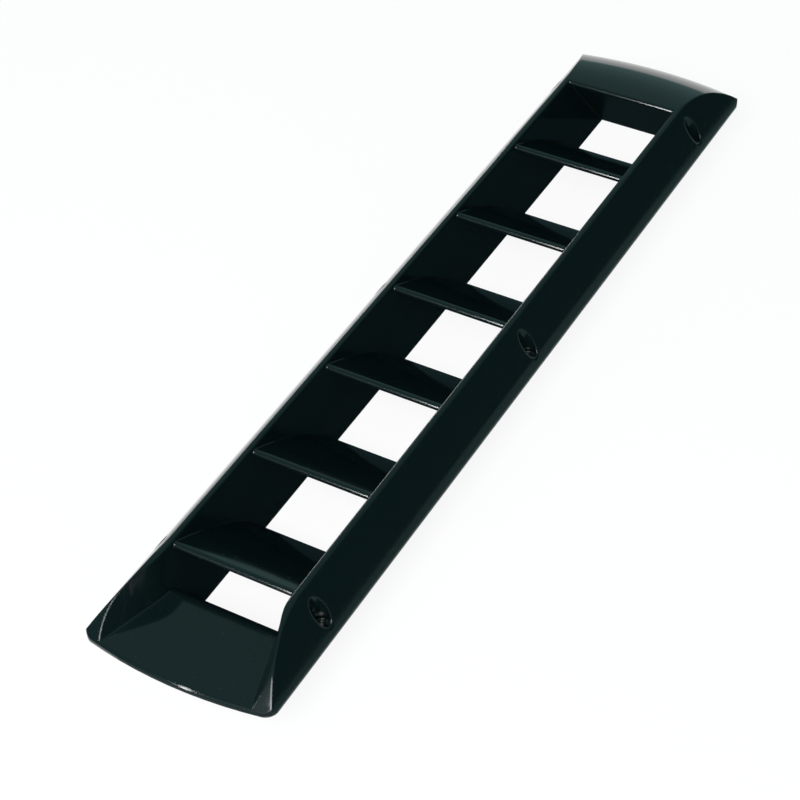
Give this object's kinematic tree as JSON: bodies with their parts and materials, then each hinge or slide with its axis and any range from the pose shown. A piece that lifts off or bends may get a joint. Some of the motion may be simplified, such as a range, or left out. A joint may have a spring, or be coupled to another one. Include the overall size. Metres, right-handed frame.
{
  "type": "louvred air scoop",
  "caption": "Long glossy black moulded air scoop with sloping louvre blades between two hollow rails, an open flared mouth at one end and a closed domed hood at the other.",
  "frame": {"origin": "centre of the six screw holes, in the plane of the flange's underside", "axes": "+X from the open mouth to the closed hood, +Y across the rails, +Z out of the panel"},
  "size_m": [0.406, 0.079, 0.036],
  "materials": {
    "moulding": "glossy black injection-moulded ABS"
  },
  "bodies": {
    "root": {"louvre_scoop": "moulding"}
  },
  "joints": []
}
